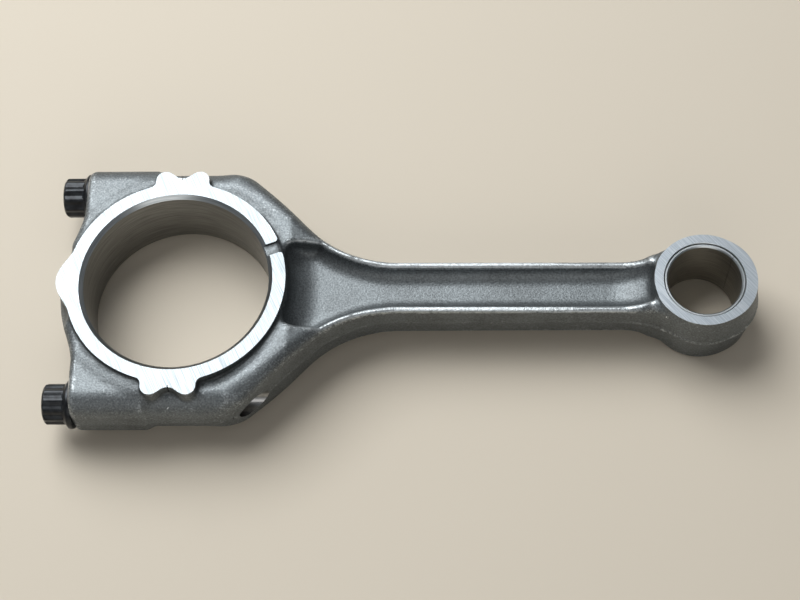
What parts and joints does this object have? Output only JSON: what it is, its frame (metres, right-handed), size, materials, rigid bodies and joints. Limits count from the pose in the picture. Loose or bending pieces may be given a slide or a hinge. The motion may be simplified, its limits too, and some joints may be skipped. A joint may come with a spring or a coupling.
{
  "type": "connecting rod",
  "caption": "Forged I-beam connecting rod for a car engine, with a fracture-split bolted bearing cap and a bushed piston-pin eye.",
  "frame": {"origin": "centre of the big-end bore, midway between the two thrust faces", "axes": "+Z along both bores, out of the thrust face that has the oil slot; +X towards the small end; the rod is its own mirror image across the XZ plane, apart from the oil slot"},
  "size_m": [0.1938, 0.0772, 0.023],
  "materials": {
    "forged_steel": "shot-blasted forging with ground thrust faces and bored eyes",
    "black_bolt_steel": "black oxide, lightly oiled",
    "bush_lining": "fine bored, steel-backed"
  },
  "bodies": {
    "rod": {"rod_forging": "forged_steel", "small_end_bush": "bush_lining"},
    "cap": {"bearing_cap": "forged_steel"},
    "upper_bolt": {"upper_cap_bolt": "black_bolt_steel"},
    "lower_bolt": {"lower_cap_bolt": "black_bolt_steel"}
  },
  "joints": [
    {"name": "cap_lift", "type": "slide", "parent": "rod", "child": "cap", "axis": [-1, 0, 0], "range_m": [0, 0.04]},
    {"name": "upper_bolt_draw", "type": "slide", "parent": "cap", "child": "upper_bolt", "axis": [-1, 0, 0], "range_m": [0, 0.046]},
    {"name": "lower_bolt_draw", "type": "slide", "parent": "cap", "child": "lower_bolt", "axis": [-1, 0, 0], "range_m": [0, 0.046]}
  ]
}
